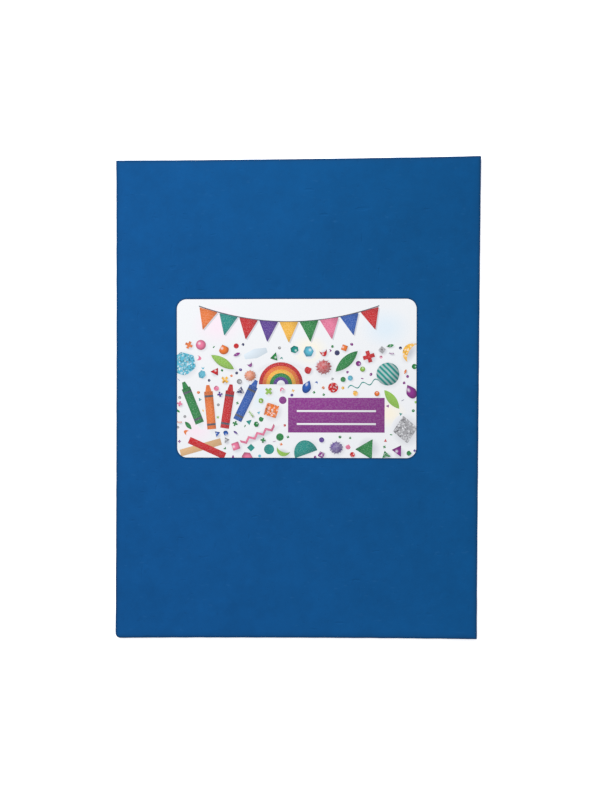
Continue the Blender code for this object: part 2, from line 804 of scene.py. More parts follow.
def finished_piece(name: str, mesh: Mesh, finishes: Iterable[bpy.types.Material],
                   node: str) -> bpy.types.Object:
    """Make a piece of the part and tie it to the frame.

    Args:
        name: The piece's name.
        mesh: Its mesh, which is freed.
        finishes: Its materials, in the order of its faces' slots.
        node: The solid that it stands for.

    Returns:
        The piece.
    """
    piece = show(name, mesh, finishes)
    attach(piece, BODY)
    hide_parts(node)
    return piece


def round_corners(mesh: Mesh, radius: float, segments: int) -> None:
    """Round the corners of a flat outline."""
    bmesh.ops.bevel(mesh, geom=mesh.verts[:], offset=radius, offset_type="OFFSET",
                    affect="VERTICES", segments=segments, profile=0.5, material=-1)


def double_up(mesh: Mesh) -> tuple[set[bmesh.types.BMVert], set[bmesh.types.BMFace]]:
    """Extrude a flat face into two that are joined along their rim and still lie in one plane.

    Args:
        mesh: The flat face's mesh.

    Returns:
        The upper face's vertices and faces.
    """
    raised = bmesh.ops.extrude_face_region(mesh, geom=mesh.faces[:], use_keep_orig=True)["geom"]
    verts = {item for item in raised if isinstance(item, bmesh.types.BMVert)}
    return verts, {item for item in raised if isinstance(item, bmesh.types.BMFace)}


class Corner(Enum):
    """The four corners of a sheet, as signs along X and Y."""

    BOTTOM_LEFT = (-1, -1)
    BOTTOM_RIGHT = (1, -1)
    TOP_RIGHT = (1, 1)
    TOP_LEFT = (-1, 1)


@dataclass(frozen=True)
class CornerLift:
    """A corner that has curled up a little."""

    corner: Corner
    height: float
    reach: float

    def at(self, x: float, y: float, half: Vector) -> float:
        """How high the curl lifts a point.

        Args:
            x: The point's place across the sheet.
            y: The point's place along the sheet.
            half: Half the sheet's sides.

        Returns:
            The lift in metres.
        """
        across, along = self.corner.value
        away = math.hypot(x - across * half.x, y - along * half.y)
        return self.height * max(0.0, 1.0 - away / self.reach) ** 2


@dataclass(frozen=True)
class SoftSpot:
    """A round spot that fades out: a dent in the face, or a soft patch where the colour is lighter or
    darker.
    """

    x: float
    y: float
    width: float
    strength: float

    def at(self, x: float, y: float) -> float:
        """A dent's depth at a point in metres, or a patch's share of the colour there."""
        away = math.hypot(x - self.x, y - self.y) / self.width
        return self.strength * math.exp(-away * away)


def soft_spots(*rows: tuple[float, float, float, float], unit: float = 1.0) -> tuple[SoftSpot, ...]:
    """Make spots of rows: place across, place along and width in millimetres, and strength in its unit."""
    return tuple(SoftSpot(x * MM, y * MM, width * MM, strength * unit) for x, y, width, strength in rows)


@dataclass(frozen=True)
class SheetLay:
    """How the soft sheet lies: where it lifts off the floor and how its face waves."""

    sheet: Box
    label: Box
    floor_wave: float = 0.22 * MM
    floor_wave_length: float = 85 * MM
    floor_wave_seed: float = 0.31
    face_wave: float = 0.07 * MM
    face_wave_length: float = 24 * MM
    face_wave_seed: float = 0.77
    label_ease: float = 14 * MM
    lifts: tuple[CornerLift, ...] = (
        CornerLift(Corner.TOP_RIGHT, 0.9 * MM, 46 * MM),
        CornerLift(Corner.TOP_LEFT, 0.4 * MM, 34 * MM),
        CornerLift(Corner.BOTTOM_LEFT, 0.7 * MM, 28 * MM),
        CornerLift(Corner.BOTTOM_RIGHT, 0.5 * MM, 38 * MM),
    )
    dents: tuple[SoftSpot, ...] = soft_spots(
        (4, 104, 2.4, 0.40), (-43, 84, 2.2, 0.30), (-11, 72, 2.8, 0.28), (-62, 94, 4.5, 0.20),
        (58, 118, 2.6, 0.24), (-58, -52, 2.6, 0.32), (-72, -90, 2.2, 0.30), (-31, -114, 2.6, 0.28),
        (26, -127, 3.2, 0.34), (82, -66, 2.4, 0.28), (46, -78, 3.6, 0.20), (98, 52, 2.4, 0.24),
        unit=MM,
    )

    def freedom(self, x: float, y: float) -> float:
        """How freely the foam waves: not at all under the label, which holds it flat.

        Args:
            x: The place across the sheet.
            y: The place along the sheet.

        Returns:
            A share from 0 to 1.
        """
        beyond_x = max(self.label.low.x - x, x - self.label.high.x, 0.0)
        beyond_y = max(self.label.low.y - y, y - self.label.high.y, 0.0)
        return smooth_step(math.hypot(beyond_x, beyond_y) / self.label_ease)

    def lift(self, x: float, y: float) -> float:
        """Height of the underside above the floor.

        Args:
            x: The place across the sheet.
            y: The place along the sheet.

        Returns:
            The height in metres.
        """
        wave = noise.noise(Vector((x, y, self.floor_wave_seed)) / self.floor_wave_length)
        height = self.floor_wave * max(0.0, wave) * self.freedom(x, y)
        return height + sum(lift.at(x, y, self.sheet.high) for lift in self.lifts)

    def face(self, x: float, y: float) -> float:
        """Height of the upper face above the underside.

        Args:
            x: The place across the sheet.
            y: The place along the sheet.

        Returns:
            The height in metres.
        """
        wave = noise.noise(Vector((x, y, self.face_wave_seed)) / self.face_wave_length)
        height = self.sheet.size.z + self.face_wave * wave * self.freedom(x, y)
        return height - sum(dent.at(x, y) for dent in self.dents)


@dataclass(frozen=True)
class EdgeProfile:
    """The outline of the cut side: shares of the thickness, and how far out each one stands."""

    levels: tuple[float, ...] = (0.0, 0.04, 0.16, 0.50, 0.84, 0.96, 1.0)
    reaches: tuple[float, ...] = (0.0, 0.72, 1.0, 0.62, 1.0, 0.72, 0.0)


@dataclass
class FoamSheet:
    """The foam sheet, cut slightly out of square with edges that bow in a little."""

    lay: SheetLay
    out_of_square: float = math.radians(0.6)
    cut_corner: float = 0.6 * MM
    worn_corner: float = 3.4 * MM
    rim: float = 0.22 * MM
    pinch: float = 0.45 * MM
    pinch_reach: float = 1.4 * MM
    rim_shade_reach: float = 0.80 * MM
    bow_left: float = 0.27 * MM
    bow_right: float = 0.16 * MM
    bow_top: float = 0.37 * MM
    bow_bottom: float = 0.47 * MM
    ripple: float = 0.10 * MM
    ripple_length: float = 9 * MM
    ripple_reach: float = 6 * MM
    ripple_seed: tuple[float, float, float] = (7.3, 1.9, 4.1)
    fine_step: float = 0.4 * MM
    fine_reach: float = 2.4 * MM
    pitch: float = 1.6 * MM
    profile: EdgeProfile = EdgeProfile()
    # Lighter along the middle of the top edge, and darker in the top right corner, above the label
    # and a little towards both lower corners
    clouds: tuple[SoftSpot, ...] = soft_spots(
        (0, 140, 50, 0.05), (100, 120, 50, -0.08), (20, 90, 30, -0.06),
        (-80, -120, 30, -0.03), (70, -70, 30, -0.03),
    )

    def __post_init__(self) -> None:
        """Work out the square sheet's size from the frame's box around the leaning one."""
        self.lean = math.tan(self.out_of_square / 2)
        box = self.lay.sheet.size
        share = 1.0 - self.lean**2
        self.width = (box.x - self.lean * box.y) / share
        self.length = (box.y - self.lean * box.x) / share

    def build(self) -> bpy.types.Object:
        """Model and dress the sheet.

        Returns:
            The foam piece.
        """
        mesh = self._slab()
        runs = len(self.profile.levels) - 1
        rim = mesh.verts.layers.float.new("rim")
        cloud = mesh.verts.layers.float.new("cloud")
        for face in mesh.faces:
            levels = {round(vert.co.z * runs) for vert in face.verts}
            face.smooth = True
            face.material_index = int(len(levels) > 1)
        for vert in mesh.verts:
            level = round(vert.co.z * runs)
            spot, outward = self._rounded(vert.co.x, vert.co.y)
            spot += outward * self.rim * self.profile.reaches[level]
            # The rim attribute leads the painted shade along the rim in the skin's material
            vert[rim] = math.exp(-self._inside(spot) / self.rim_shade_reach)
            vert.co = self._place(spot, self.profile.levels[level])
            vert[cloud] = sum(patch.at(vert.co.x, vert.co.y) for patch in self.clouds)
        finishes = (FoamSkin(LabelEdgeShade(self.lay.label)).material(), FoamCut().material())
        piece = finished_piece("foam_sheet_skin", mesh, finishes, "foam_sheet")
        return piece

    def _slab(self) -> Mesh:
        """Draw the square-cornered sheet, one unit thick, with rows of faces down its side.

        Returns:
            The closed mesh.
        """
        mesh = bmesh.new()
        columns = self._stations(self.width / 2 - self.rim)
        rows = self._stations(self.length / 2 - self.rim)
        bmesh.ops.create_grid(mesh, x_segments=len(columns) - 1, y_segments=len(rows) - 1, size=1.0)
        for vert in mesh.verts:
            vert.co.x = columns[round((vert.co.x + 1) / 2 * (len(columns) - 1))]
            vert.co.y = rows[round((vert.co.y + 1) / 2 * (len(rows) - 1))]
        upper, _ = double_up(mesh)
        bmesh.ops.translate(mesh, verts=list(upper), vec=(0.0, 0.0, 1.0))
        uprights = [edge for edge in mesh.edges if abs(edge.verts[0].co.z - edge.verts[1].co.z) > 0.5]
        cuts = len(self.profile.levels) - 2
        bmesh.ops.subdivide_edges(mesh, edges=uprights, cuts=cuts, use_grid_fill=True)
        bmesh.ops.recalc_face_normals(mesh, faces=mesh.faces[:])
        return mesh

    def _stations(self, half: float) -> list[float]:
        """Grid lines from one edge to the other, close together near both edges.

        Args:
            half: Half the sheet's size in this direction.

        Returns:
            The lines' places, in order.
        """
        near = round(self.fine_reach / self.fine_step)
        rim = [half - step * self.fine_step for step in range(near)]
        inner = half - near * self.fine_step
        runs = round(2 * inner / self.pitch)
        middle = [inner - 2 * inner * run / runs for run in range(runs + 1)]
        return sorted(rim + middle + [-place for place in rim])

    def _rounded(self, x: float, y: float) -> tuple[Vector, Vector]:
        """Move a point of the square-cornered sheet onto the round-cornered one.

        Args:
            x: The point's place across the sheet.
            y: The point's place along the sheet.

        Returns:
            The new place, and the direction that leads straight out of the nearest edge.
        """
        spot = Vector((x, y))
        spoke, _ = self._spoke(spot)
        if min(spoke) > 0:
            spoke = Vector((math.copysign(spoke.x, x), math.copysign(spoke.y, y)))
            shift = spoke * (max(abs(spoke.x), abs(spoke.y)) / spoke.length - 1.0)
            return spot + shift, spoke.normalized()
        if self.width / 2 - abs(x) < self.length / 2 - abs(y):
            return spot, Vector((math.copysign(1.0, x), 0.0))
        return spot, Vector((0.0, math.copysign(1.0, y)))

    def _spoke(self, spot: Vector) -> tuple[Vector, float]:
        """Measure a point from the middle of the nearest corner's arc.

        Args:
            spot: The point in the square plan.

        Returns:
            Its distances towards the corner, both above 0 where the arc bounds it, and the radius.
        """
        across, along = math.copysign(1.0, spot.x), math.copysign(1.0, spot.y)
        worn = Corner((int(across), int(along))) is Corner.BOTTOM_LEFT
        radius = self.worn_corner if worn else self.cut_corner
        reach = Vector((self.width / 2 - radius, self.length / 2 - radius))
        return Vector((abs(spot.x), abs(spot.y))) - reach, radius

    def _inside(self, spot: Vector) -> float:
        """How far inside the nearest edge a point of the flat plan is.

        Args:
            spot: The point in the flat plan.

        Returns:
            The distance in metres, 0 outside the sheet.
        """
        spoke, radius = self._spoke(spot)
        if min(spoke) > 0:
            return max(0.0, radius - spoke.length)
        return max(0.0, min(self.width / 2 - abs(spot.x), self.length / 2 - abs(spot.y)))

    def _place(self, spot: Vector, level: float) -> Vector:
        """Put a point of the flat plan where it lies in the real sheet.

        Args:
            spot: The point in the square plan.
            level: Its share of the thickness.

        Returns:
            The point's place in the frame.
        """
        across = spot.x / (self.width / 2)
        along = spot.y / (self.length / 2)
        bow_x = self.bow_right if across > 0 else self.bow_left
        bow_y = self.bow_top if along > 0 else self.bow_bottom
        wander = self._wander(spot)
        x = spot.x - bow_x * across * (1.0 - along * along) + wander.x
        y = spot.y - bow_y * along * (1.0 - across * across) + wander.y
        x, y = x + self.lean * y, y + self.lean * x
        pinch = self.pinch * math.exp(-self._inside(spot) / self.pinch_reach)
        return Vector((x, y, self.lay.lift(x, y) + level * (self.lay.face(x, y) - pinch)))

    def _wander(self, spot: Vector) -> Vector:
        """The knife's small wander, which dies away inside the sheet.

        Args:
            spot: The point in the square plan.

        Returns:
            The point's shift across and along the sheet.
        """
        share = 1.0 - smooth_step(self._inside(spot) / self.ripple_reach)
        place = Vector((spot.x, spot.y, 0.0)) / self.ripple_length
        other = place + Vector(self.ripple_seed)
        return Vector((noise.noise(place), noise.noise(other))) * (self.ripple * share)


class Ink(Enum):
    """The label's printing colours, as 8-bit display colours."""

    PAPER = (229, 231, 234)
    PURPLE = (132, 50, 132)
    VIOLET = (88, 56, 142)
    NAVY = (46, 50, 98)
    RED = (192, 34, 38)
    ORANGE = (224, 118, 54)
    AMBER = (236, 180, 70)
    GREEN = (38, 128, 66)
    LIME = (140, 186, 78)
    TEAL = (30, 140, 132)
    AQUA = (92, 176, 200)
    BLUE = (44, 90, 170)
    PINK = (222, 118, 152)
    SILVER = (156, 156, 160)
    WOOD = (212, 172, 126)
    SLATE = (84, 86, 98)
    SHADOW = (192, 194, 202)
    HAZE = (212, 214, 221)
    BLUE_MIST = (214, 226, 236)
    PINK_MIST = (236, 222, 232)
    SAND_MIST = (238, 232, 216)

    @property
    def colour(self) -> Colour:
        """The ink as a linear colour."""
        return linear(*self.value)


class MotifShape(Enum):
    """The outlines that the design is made of."""

    BAR = "bar"
    TAPER = "taper"
    PENNANT = "pennant"
    DIAMOND = "diamond"
    HEXAGON = "hexagon"
    DISC = "disc"
    HALF_DISC = "half_disc"
    TUFT = "tuft"
    CROSS = "cross"
    CRESCENT = "crescent"
    LEAF = "leaf"
    DROP = "drop"
    ZIGZAG = "zigzag"
    SQUIGGLE = "squiggle"
    SAG = "sag"


@dataclass(frozen=True)
class Motif:
    """One printed shape, in millimetres from the label's lower left corner."""

    shape: MotifShape
    x: float
    y: float
    width: float
    height: float
    ink: Ink
    effect: InkEffect = InkEffect.FLAT
    turn: float = 0.0

    def matrix(self) -> Matrix:
        """Place a unit outline on the label.

        Returns:
            The matrix, in metres from the label's lower left corner.
        """
        size = Matrix.Diagonal((self.width / 2 * MM, self.height / 2 * MM, 1.0, 1.0))
        place = Matrix.Translation((self.x * MM, self.y * MM, 0.0))
        return place @ Matrix.Rotation(self.turn, 4, "Z") @ size

    def gap(self, x: float, y: float) -> float:
        """Distance from a point to the motif's own box, in millimetres.

        Args:
            x: The point's place across the label.
            y: The point's place up the label.

        Returns:
            The distance, 0 inside the box.
        """
        cosine, sine = math.cos(self.turn), math.sin(self.turn)
        across = cosine * (x - self.x) + sine * (y - self.y)
        along = cosine * (y - self.y) - sine * (x - self.x)
        return math.hypot(max(abs(across) - self.width / 2, 0.0), max(abs(along) - self.height / 2, 0.0))


class MotifCutter:
    """Cuts each outline as a flat mesh that fills the square from -1 to 1."""

    def cut(self, shape: MotifShape) -> Mesh:
        """Cut one outline.

        Args:
            shape: The outline.

        Returns:
            Its flat mesh.
        """
        mesh = bmesh.new()
        getattr(self, f"_{shape.value}")(mesh)
        for axis in (0, 1):
            places = [vert.co[axis] for vert in mesh.verts]
            middle, half = (max(places) + min(places)) / 2, (max(places) - min(places)) / 2
            for vert in mesh.verts:
                vert.co[axis] = (vert.co[axis] - middle) / half
        return mesh

    @staticmethod
    def _polygon(mesh: Mesh, sides: int, rounding: float = 0.0, turn: float = 0.0) -> None:
        """Draw a filled polygon of unit radius, with its corners rounded off.

        Args:
            mesh: The mesh to draw in.
            sides: How many sides it has.
            rounding: How far from each corner the rounding starts.
            turn: Its turn in radians.
        """
        bmesh.ops.create_circle(mesh, cap_ends=True, segments=sides, radius=1.0)
        bmesh.ops.rotate(mesh, verts=mesh.verts[:], cent=(0, 0, 0), matrix=Matrix.Rotation(turn, 3, "Z"))
        if rounding:
            round_corners(mesh, rounding, segments=4)

    @staticmethod
    def _strip(mesh: Mesh, runs: int, path: StripPath) -> None:
        """Bend a strip along a path.

        Args:
            mesh: The mesh to draw in.
            runs: How many runs draw the strip.
            path: Gives a point from its share along the strip and its side, -1 or 1.
        """
        bmesh.ops.create_grid(mesh, x_segments=runs, y_segments=1, size=1.0)
        for vert in mesh.verts:
            vert.co.x, vert.co.y = path((vert.co.x + 1) / 2, vert.co.y)

    def _bar(self, mesh: Mesh) -> None:
        """A straight bar."""
        bmesh.ops.create_grid(mesh, x_segments=1, y_segments=1, size=1.0)

    def _taper(self, mesh: Mesh) -> None:
        """A bar that narrows to its right end."""
        self._strip(mesh, 1, lambda along, side: (2 * along - 1, side * (1.0 - 0.55 * along)))

    def _pennant(self, mesh: Mesh) -> None:
        """A flag with its point down."""
        self._polygon(mesh, 3, 0.08, math.pi)

    def _diamond(self, mesh: Mesh) -> None:
        """A square on its point."""
        self._polygon(mesh, 4, 0.10)

    def _hexagon(self, mesh: Mesh) -> None:
        """A six-sided spangle."""
        self._polygon(mesh, 6, 0.10)

    def _disc(self, mesh: Mesh) -> None:
        """A plain disc."""
        self._polygon(mesh, 24)

    def _half_disc(self, mesh: Mesh) -> None:
        """The upper half of a disc.

        Args:
            mesh: The mesh to draw in.
        """
        self._polygon(mesh, 40)
        geom = mesh.verts[:] + mesh.edges[:] + mesh.faces[:]
        bmesh.ops.bisect_plane(mesh, geom=geom, plane_co=(0, 0, 0), plane_no=(0, 1, 0), clear_inner=True)

    def _tuft(self, mesh: Mesh) -> None:
        """A ball of yarn ends, whose rim is frayed.

        Args:
            mesh: The mesh to draw in.
        """
        self._polygon(mesh, 66)
        for place, vert in enumerate(mesh.verts):
            vert.co *= 1.0 - 0.13 * (place % 2) - 0.05 * (place % 3) - 0.04 * (place % 5)

    def _cross(self, mesh: Mesh) -> None:
        """A plus sign: a grid of nine squares without its corners.

        Args:
            mesh: The mesh to draw in.
        """
        bmesh.ops.create_grid(mesh, x_segments=3, y_segments=3, size=1.0)
        corners = [face for face in mesh.faces if min(map(abs, face.calc_center_median().xy)) > 0.5]
        bmesh.ops.delete(mesh, geom=corners, context="FACES")

    def _crescent(self, mesh: Mesh) -> None:
        """A disc whose right side is pushed in past its middle.

        Args:
            mesh: The mesh to draw in.
        """
        self._polygon(mesh, 36)
        for vert in mesh.verts:
            vert.co.x *= 1.0 if vert.co.x < 0 else -0.45

    def _leaf(self, mesh: Mesh) -> None:
        """A blade that comes to a point at both ends."""
        self._strip(mesh, 14, lambda along, side: (
            2 * along - 1, side * (0.01 + math.sin(math.pi * along) ** 0.8)))

    def _drop(self, mesh: Mesh) -> None:
        """A drop, round below and pointed above.

        Args:
            mesh: The mesh to draw in.
        """
        self._polygon(mesh, 28)
        for vert in mesh.verts:
            vert.co.x *= 1.0 if vert.co.y < 0 else (1.0 - vert.co.y) ** 0.6

    def _zigzag(self, mesh: Mesh) -> None:
        """Zigzag braid."""
        self._strip(mesh, 8, lambda along, side: (
            2 * along - 1, side * 0.42 + 0.58 * (-1) ** round(along * 8)))

    def _squiggle(self, mesh: Mesh) -> None:
        """A length of wavy yarn."""
        self._strip(mesh, 36, lambda along, side: (
            2 * along - 1, side * 0.22 + 0.78 * math.sin(along * 5 * math.pi)))

    def _sag(self, mesh: Mesh) -> None:
        """A string that hangs between its ends."""
        self._strip(mesh, 30, lambda along, side: (2 * along - 1, 8 * along * (along - 1) + 0.07 * side))


@dataclass
class DesignLayout:
    """Where the label's motifs go, in millimetres from its lower left corner."""

    width: float
    height: float
    seed: int = 11
    scatter_top: float = 0.72
    scatter_gap: float = 0.7
    scatter_tries: int = 50
    # Each size with how many pieces of it are tried
    scatter_sizes: tuple[tuple[float, int], ...] = ((6.4, 9), (4.8, 20), (3.3, 36), (1.9, 60))
    # Height of a leaf or a zigzag as a share of its length
    slim_share: float = 0.42
    shadow_shift: tuple[float, float] = (0.7, -0.8)
    shadow_growth: float = 1.3
    # The narrowest piece that casts a shadow
    shadow_from: float = 3.0
    flag_span: tuple[float, float] = (14.0, 128.0)
    flag_top: float = 96.0
    flag_sag: float = 10.0
    flag_width: float = 11.6
    flag_drop: float = 13.0
    flag_tilt: float = 0.9
    flag_shadow_shift: tuple[float, float] = (0.8, -0.7)
    string_width: float = 0.7

    def motifs(self) -> list[Motif]:
        """All the motifs, from the paper up.

        Returns:
            The motifs, in the order in which they are printed.
        """
        placed = [*self._panel(), *self._flags(), *self._crayons(), *self._rainbow(), *self._large()]
        scattered = self._scatter(placed)
        return [*self._washes(), *self._shadows([*placed, *scattered]), *placed, *scattered]

    def _panel(self) -> list[Motif]:
        """A purple panel with two white lines to write on.

        Returns:
            The motifs, from the paper up.
        """
        x, y = 101.0, 27.0
        panel = Motif(MotifShape.BAR, x, y, 61.0, 22.0, Ink.PURPLE)
        lines = [Motif(MotifShape.BAR, x, y + step, 50.0, 1.2, Ink.PAPER) for step in (2.6, -5.6)]
        return [panel, *lines]

    def _flags(self) -> list[Motif]:
        """A string of party flags across the top.

        Returns:
            The motifs, from the paper up.
        """
        inks = (Ink.ORANGE, Ink.TEAL, Ink.RED, Ink.VIOLET, Ink.AMBER,
                Ink.GREEN, Ink.PINK, Ink.BLUE, Ink.RED)
        left, right = self.flag_span
        span = right - left
        across, up = self.flag_shadow_shift
        string = Motif(MotifShape.SAG, (left + right) / 2, self.flag_top - self.flag_sag / 2,
                       span, self.flag_sag + self.string_width, Ink.SLATE)
        flags, shadows = [], []
        for place, ink in enumerate(inks):
            share = (place + 0.5) / len(inks)
            slope = -4 * self.flag_sag * (1 - 2 * share) / span
            x = left + span * share + slope * self.flag_drop / 2
            y = self.flag_top - 4 * self.flag_sag * share * (1 - share) - self.flag_drop / 2
            size, turn = (self.flag_width, self.flag_drop), slope * self.flag_tilt
            flags.append(Motif(MotifShape.PENNANT, x, y, *size, ink, InkEffect.FELT, turn))
            shadows.append(Motif(MotifShape.PENNANT, x + across, y + up, *size, Ink.HAZE, turn=turn))
        return [*shadows, string, *flags]

    def _crayons(self) -> list[Motif]:
        """Four wax crayons fanned out on the left.

        Returns:
            The motifs, from the paper up.
        """
        fan = ((10.0, 33.0, Ink.GREEN, 1.95), (21.0, 30.0, Ink.ORANGE, 1.66),
               (32.0, 30.5, Ink.RED, 1.42), (43.5, 34.5, Ink.BLUE, 1.12))
        return [part for x, y, ink, turn in fan for part in self._crayon(x, y, ink, turn)]

    @staticmethod
    def _crayon(x: float, y: float, ink: Ink, turn: float) -> list[Motif]:
        """One crayon: tip, body and two bands.

        Args:
            x: The middle's place across the label.
            y: The middle's place up the label.
            ink: The crayon's colour.
            turn: Its direction in radians.

        Returns:
            The crayon's motifs.
        """
        parts = (
            (MotifShape.TAPER, 13.6, 5.0, 4.4, ink, InkEffect.FLAT),
            (MotifShape.BAR, 0.0, 24.0, 5.6, ink, InkEffect.FELT),
            (MotifShape.BAR, -9.0, 1.3, 5.6, Ink.SLATE, InkEffect.FLAT),
            (MotifShape.BAR, 9.0, 1.3, 5.6, Ink.SLATE, InkEffect.FLAT),
        )
        cosine, sine = math.cos(turn), math.sin(turn)
        return [
            Motif(shape, x + cosine * along, y + sine * along, length, width, tone, effect, turn)
            for shape, along, length, width, tone, effect in parts
        ]

    @staticmethod
    def _rainbow() -> list[Motif]:
        """A felt rainbow: half discs laid one on the other.

        Returns:
            The motifs, from the paper up.
        """
        rings = ((14.0, Ink.RED), (11.7, Ink.ORANGE), (9.4, Ink.AMBER), (7.1, Ink.GREEN),
                 (4.8, Ink.VIOLET), (2.6, Ink.PAPER))
        return [
            Motif(MotifShape.HALF_DISC, 66.0, 46.5 + radius / 2, 2 * radius, radius, ink,
                  InkEffect.FLAT if ink is Ink.PAPER else InkEffect.FELT)
            for radius, ink in rings
        ]

    @staticmethod
    def _large() -> list[Motif]:
        """The large loose pieces.

        Returns:
            The motifs, from the paper up.
        """
        shape, effect = MotifShape, InkEffect
        return [
            Motif(shape.SQUIGGLE, 118.0, 46.5, 20.0, 3.4, Ink.TEAL, effect.FLAT, 0.25),
            Motif(shape.DISC, 133.5, 53.0, 14.5, 14.5, Ink.TEAL, effect.STRIPES),
            Motif(shape.TUFT, 93.0, 57.5, 10.5, 10.5, Ink.RED, effect.FUZZ),
            Motif(shape.LEAF, 107.5, 61.0, 19.0, 6.4, Ink.GREEN, effect.FELT, 0.75),
            Motif(shape.LEAF, 29.0, 60.5, 17.0, 5.6, Ink.LIME, effect.FELT, -0.55),
            Motif(shape.CRESCENT, 146.5, 67.5, 7.0, 13.0, Ink.AMBER, effect.GLITTER, -0.5),
            Motif(shape.ZIGZAG, 51.5, 14.5, 24.0, 4.2, Ink.PINK, effect.FELT, 0.45),
            Motif(shape.HEXAGON, 4.0, 59.5, 15.0, 15.0, Ink.AQUA, effect.GLITTER, 0.2),
            Motif(shape.BAR, 15.0, 6.5, 27.0, 4.4, Ink.WOOD, effect.FLAT, 0.28),
            Motif(shape.BAR, 19.0, 6.0, 25.0, 4.4, Ink.RED, effect.FLAT, -0.42),
            Motif(shape.DROP, 82.5, 45.0, 5.6, 8.6, Ink.BLUE, effect.GLOSS, -0.4),
            Motif(shape.DROP, 148.0, 42.0, 6.4, 9.6, Ink.PURPLE, effect.GLOSS, 0.5),
            Motif(shape.HALF_DISC, 80.5, 6.5, 15.0, 9.0, Ink.TEAL, effect.FELT, 0.35),
            Motif(shape.CROSS, 121.5, 64.0, 7.5, 7.5, Ink.RED, effect.FELT, 0.3),
            Motif(shape.DIAMOND, 144.5, 18.0, 15.0, 17.0, Ink.SILVER, effect.GLITTER, 0.15),
            Motif(shape.DIAMOND, 60.0, 30.0, 11.0, 11.0, Ink.ORANGE, effect.GLITTER, 0.5),
            Motif(shape.PENNANT, 121.0, 7.0, 12.0, 11.0, Ink.GREEN, effect.FELT, 2.6),
            Motif(shape.TUFT, 101.0, 6.5, 9.0, 9.0, Ink.VIOLET, effect.FUZZ),
            Motif(shape.TUFT, 46.5, 52.0, 8.0, 8.0, Ink.ORANGE, effect.FUZZ),
            Motif(shape.HEXAGON, 50.0, 66.0, 15.0, 6.0, Ink.BLUE_MIST, effect.FLAT, 0.3),
            Motif(shape.LEAF, 136.0, 37.0, 15.0, 5.4, Ink.LIME, effect.FLAT, -0.9),
            Motif(shape.CRESCENT, 67.0, 3.5, 5.0, 9.0, Ink.LIME, effect.FELT, 1.2),
        ]

    @staticmethod
    def _washes() -> list[Motif]:
        """Pale tints of water colour behind the pieces.

        Returns:
            The motifs, from the paper up.
        """
        spots = (
            (26.0, 84.0, 34.0, Ink.PINK_MIST), (132.0, 82.0, 34.0, Ink.BLUE_MIST),
            (84.0, 68.0, 26.0, Ink.SAND_MIST), (52.0, 40.0, 28.0, Ink.BLUE_MIST),
            (12.0, 18.0, 26.0, Ink.PINK_MIST), (134.0, 28.0, 24.0, Ink.SAND_MIST),
        )
        return [
            Motif(MotifShape.DISC, x, y, size, size * 0.8, ink, InkEffect.WASH)
            for x, y, size, ink in spots
        ]

    def _shadows(self, pieces: list[Motif]) -> list[Motif]:
        """A soft grey shadow down and to the right of each larger loose piece. The flags have their own.

        Args:
            pieces: The motifs that may cast one.

        Returns:
            The shadows.
        """
        lowest_flag = self.flag_top - self.flag_sag - self.flag_drop
        loose = [
            motif for motif in pieces
            if motif.effect is not InkEffect.FLAT
            and motif.width > self.shadow_from and motif.y < lowest_flag
        ]
        across, up = self.shadow_shift
        return [
            Motif(MotifShape.DISC, motif.x + across, motif.y + up, motif.width * self.shadow_growth,
                  motif.height * self.shadow_growth, Ink.SHADOW, InkEffect.WASH, motif.turn)
            for motif in loose
        ]

    def _scatter(self, placed: list[Motif]) -> list[Motif]:
        """Small pieces strewn over the lower part, clear of the rest.

        Args:
            placed: The motifs that they stay clear of.

        Returns:
            The small pieces.
        """
        draw = random.Random(self.seed)
        shapes = (MotifShape.DIAMOND, MotifShape.HEXAGON, MotifShape.DISC, MotifShape.DISC,
                  MotifShape.CRESCENT, MotifShape.CROSS, MotifShape.PENNANT, MotifShape.DROP,
                  MotifShape.LEAF, MotifShape.ZIGZAG)
        inks = (Ink.RED, Ink.RED, Ink.ORANGE, Ink.AMBER, Ink.GREEN, Ink.GREEN, Ink.LIME, Ink.TEAL,
                Ink.AQUA, Ink.BLUE, Ink.VIOLET, Ink.NAVY, Ink.PURPLE, Ink.PURPLE, Ink.PINK, Ink.SILVER)
        effects = (InkEffect.FLAT, InkEffect.FELT, InkEffect.GLOSS, InkEffect.GLOSS, InkEffect.GLITTER)
        small: list[Motif] = []
        for size in [size for size, count in self.scatter_sizes for _ in range(count)]:
            for _ in range(self.scatter_tries):
                x, y = draw.uniform(0.0, self.width), draw.uniform(0.0, self.height * self.scatter_top)
                nearest = min(other.gap(x, y) for other in [*placed, *small])
                if nearest > size / 2 + self.scatter_gap:
                    shape = draw.choice(shapes)
                    slim = shape in (MotifShape.LEAF, MotifShape.ZIGZAG)
                    height = size * self.slim_share if slim else size
                    ink, effect = draw.choice(inks), draw.choice(effects)
                    turn = draw.uniform(0.0, math.tau)
                    small.append(Motif(shape, x, y, size, height, ink, effect, turn))
                    break
        return small


